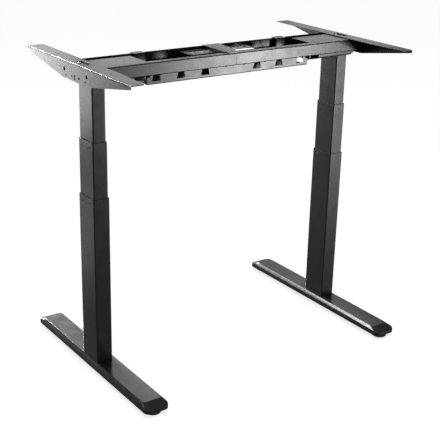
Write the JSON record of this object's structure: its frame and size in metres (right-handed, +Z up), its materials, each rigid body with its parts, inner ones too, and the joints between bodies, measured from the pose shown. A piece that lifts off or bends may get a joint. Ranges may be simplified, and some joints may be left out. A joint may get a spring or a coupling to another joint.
{
  "type": "height adjustable standing desk",
  "caption": "Sit-stand desk frame with telescopic legs on low feet, joined by a beam that pulls out in width, with a cable tray and a wing over each leg for the tabletop.",
  "frame": {"origin": "on the floor, midway between the two legs and midway along the feet", "axes": "+X along the beam from the left leg to the right leg, -Y to the front, +Z up"},
  "size_m": [0.9214, 0.652, 0.882],
  "materials": {
    "powder_coat": "fine textured black powder coat",
    "zinc_steel": "zinc-plated steel",
    "black_plastic": "matte black",
    "pale_plastic": "natural white moulding",
    "rubber": "matte black",
    "motor_can": "satin dark grey"
  },
  "bodies": {
    "left_base": {"left_foot": "powder_coat", "left_base_plate": "zinc_steel", "left_outer_tube": "powder_coat", "left_outer_glide": "black_plastic", "left_push_tube": "zinc_steel"},
    "left_front_pad": {"left_front_leveller": "rubber"},
    "left_rear_pad": {"left_rear_leveller": "rubber"},
    "left_lower_stage": {"left_middle_tube": "powder_coat", "left_middle_glide": "black_plastic", "left_bearing_block": "pale_plastic", "left_lift_tube": "zinc_steel"},
    "left_nut_screw": {"left_hollow_spindle": "zinc_steel"},
    "left_drive_screw": {"left_drive_spindle": "zinc_steel"},
    "left_head": {"left_inner_tube": "powder_coat", "left_gearbox": "motor_can", "left_motor": "motor_can", "left_head_bracket": "powder_coat", "left_front_rail": "powder_coat", "left_rear_rail": "powder_coat", "left_cover_plate": "powder_coat", "left_wing": "powder_coat"},
    "right_base": {"right_foot": "powder_coat", "right_base_plate": "zinc_steel", "right_outer_tube": "powder_coat", "right_outer_glide": "black_plastic", "right_push_tube": "zinc_steel"},
    "right_front_pad": {"right_front_leveller": "rubber"},
    "right_rear_pad": {"right_rear_leveller": "rubber"},
    "right_lower_stage": {"right_middle_tube": "powder_coat", "right_middle_glide": "black_plastic", "right_bearing_block": "pale_plastic", "right_lift_tube": "zinc_steel"},
    "right_nut_screw": {"right_hollow_spindle": "zinc_steel"},
    "right_drive_screw": {"right_drive_spindle": "zinc_steel"},
    "right_head": {"right_inner_tube": "powder_coat", "right_gearbox": "motor_can", "right_motor": "motor_can", "right_head_bracket": "powder_coat", "right_front_rail": "powder_coat", "right_rear_rail": "powder_coat", "right_cover_plate": "powder_coat", "right_wing": "powder_coat"},
    "beam_centre": {"cable_tray": "powder_coat", "front_inner_rail": "powder_coat", "rear_inner_rail": "powder_coat", "centre_bracket": "powder_coat", "left_hanger": "powder_coat", "right_hanger": "powder_coat", "control_box_cradle": "powder_coat", "control_box": "black_plastic"}
  },
  "joints": [
    {"name": "left_lift", "type": "slide", "parent": "left_base", "child": "left_lower_stage", "axis": [0, 0, 1], "range_m": [-0.138, 0.187]},
    {"name": "left_head_lift", "type": "slide", "parent": "left_lower_stage", "child": "left_head", "axis": [0, 0, 1], "range_m": [-0.138, 0.187]},
    {"name": "left_pull_out", "type": "slide", "parent": "left_head", "child": "beam_centre", "axis": [1, 0, 0], "range_m": [0, 0.15]},
    {"name": "right_pull_out", "type": "slide", "parent": "beam_centre", "child": "right_head", "axis": [1, 0, 0], "range_m": [0, 0.15]},
    {"name": "right_head_lift", "type": "slide", "parent": "right_head", "child": "right_lower_stage", "axis": [0, 0, -1], "range_m": [-0.138, 0.187]},
    {"name": "right_lift", "type": "slide", "parent": "right_lower_stage", "child": "right_base", "axis": [0, 0, -1], "range_m": [-0.138, 0.187]},
    {"name": "left_nut_screw_turn", "type": "hinge", "parent": "left_lower_stage", "child": "left_nut_screw", "pos_m": [-0.4145, 0, 0.6], "axis": [0, 0, 1], "range_deg": [-2520, 3400]},
    {"name": "left_drive_screw_turn", "type": "hinge", "parent": "left_head", "child": "left_drive_screw", "pos_m": [-0.4145, 0, 0.8], "axis": [0, 0, 1], "range_deg": [-2520, 3400]},
    {"name": "left_front_pad_turn", "type": "hinge", "parent": "left_base", "child": "left_front_pad", "pos_m": [-0.4105, -0.297, 0.01], "axis": [0, 0, 1], "continuous": true},
    {"name": "left_rear_pad_turn", "type": "hinge", "parent": "left_base", "child": "left_rear_pad", "pos_m": [-0.4105, 0.297, 0.01], "axis": [0, 0, 1], "continuous": true},
    {"name": "right_nut_screw_turn", "type": "hinge", "parent": "right_lower_stage", "child": "right_nut_screw", "pos_m": [0.4145, 0, 0.6], "axis": [0, 0, 1], "range_deg": [-2520, 3400]},
    {"name": "right_drive_screw_turn", "type": "hinge", "parent": "right_head", "child": "right_drive_screw", "pos_m": [0.4145, 0, 0.8], "axis": [0, 0, 1], "range_deg": [-2520, 3400]},
    {"name": "right_front_pad_turn", "type": "hinge", "parent": "right_base", "child": "right_front_pad", "pos_m": [0.4105, -0.297, 0.01], "axis": [0, 0, 1], "continuous": true},
    {"name": "right_rear_pad_turn", "type": "hinge", "parent": "right_base", "child": "right_rear_pad", "pos_m": [0.4105, 0.297, 0.01], "axis": [0, 0, 1], "continuous": true}
  ],
  "couplings": [
    {"joint": "left_head_lift", "follows": "left_lift", "ratio": 1},
    {"joint": "right_head_lift", "follows": "left_lift", "ratio": 1},
    {"joint": "right_lift", "follows": "left_lift", "ratio": 1},
    {"joint": "right_pull_out", "follows": "left_pull_out", "ratio": 1},
    {"joint": "left_nut_screw_turn", "follows": "left_lift", "rad_per_m": 314.16},
    {"joint": "left_drive_screw_turn", "follows": "left_lift", "rad_per_m": 314.16},
    {"joint": "right_nut_screw_turn", "follows": "left_lift", "rad_per_m": 314.16},
    {"joint": "right_drive_screw_turn", "follows": "left_lift", "rad_per_m": 314.16}
  ]
}
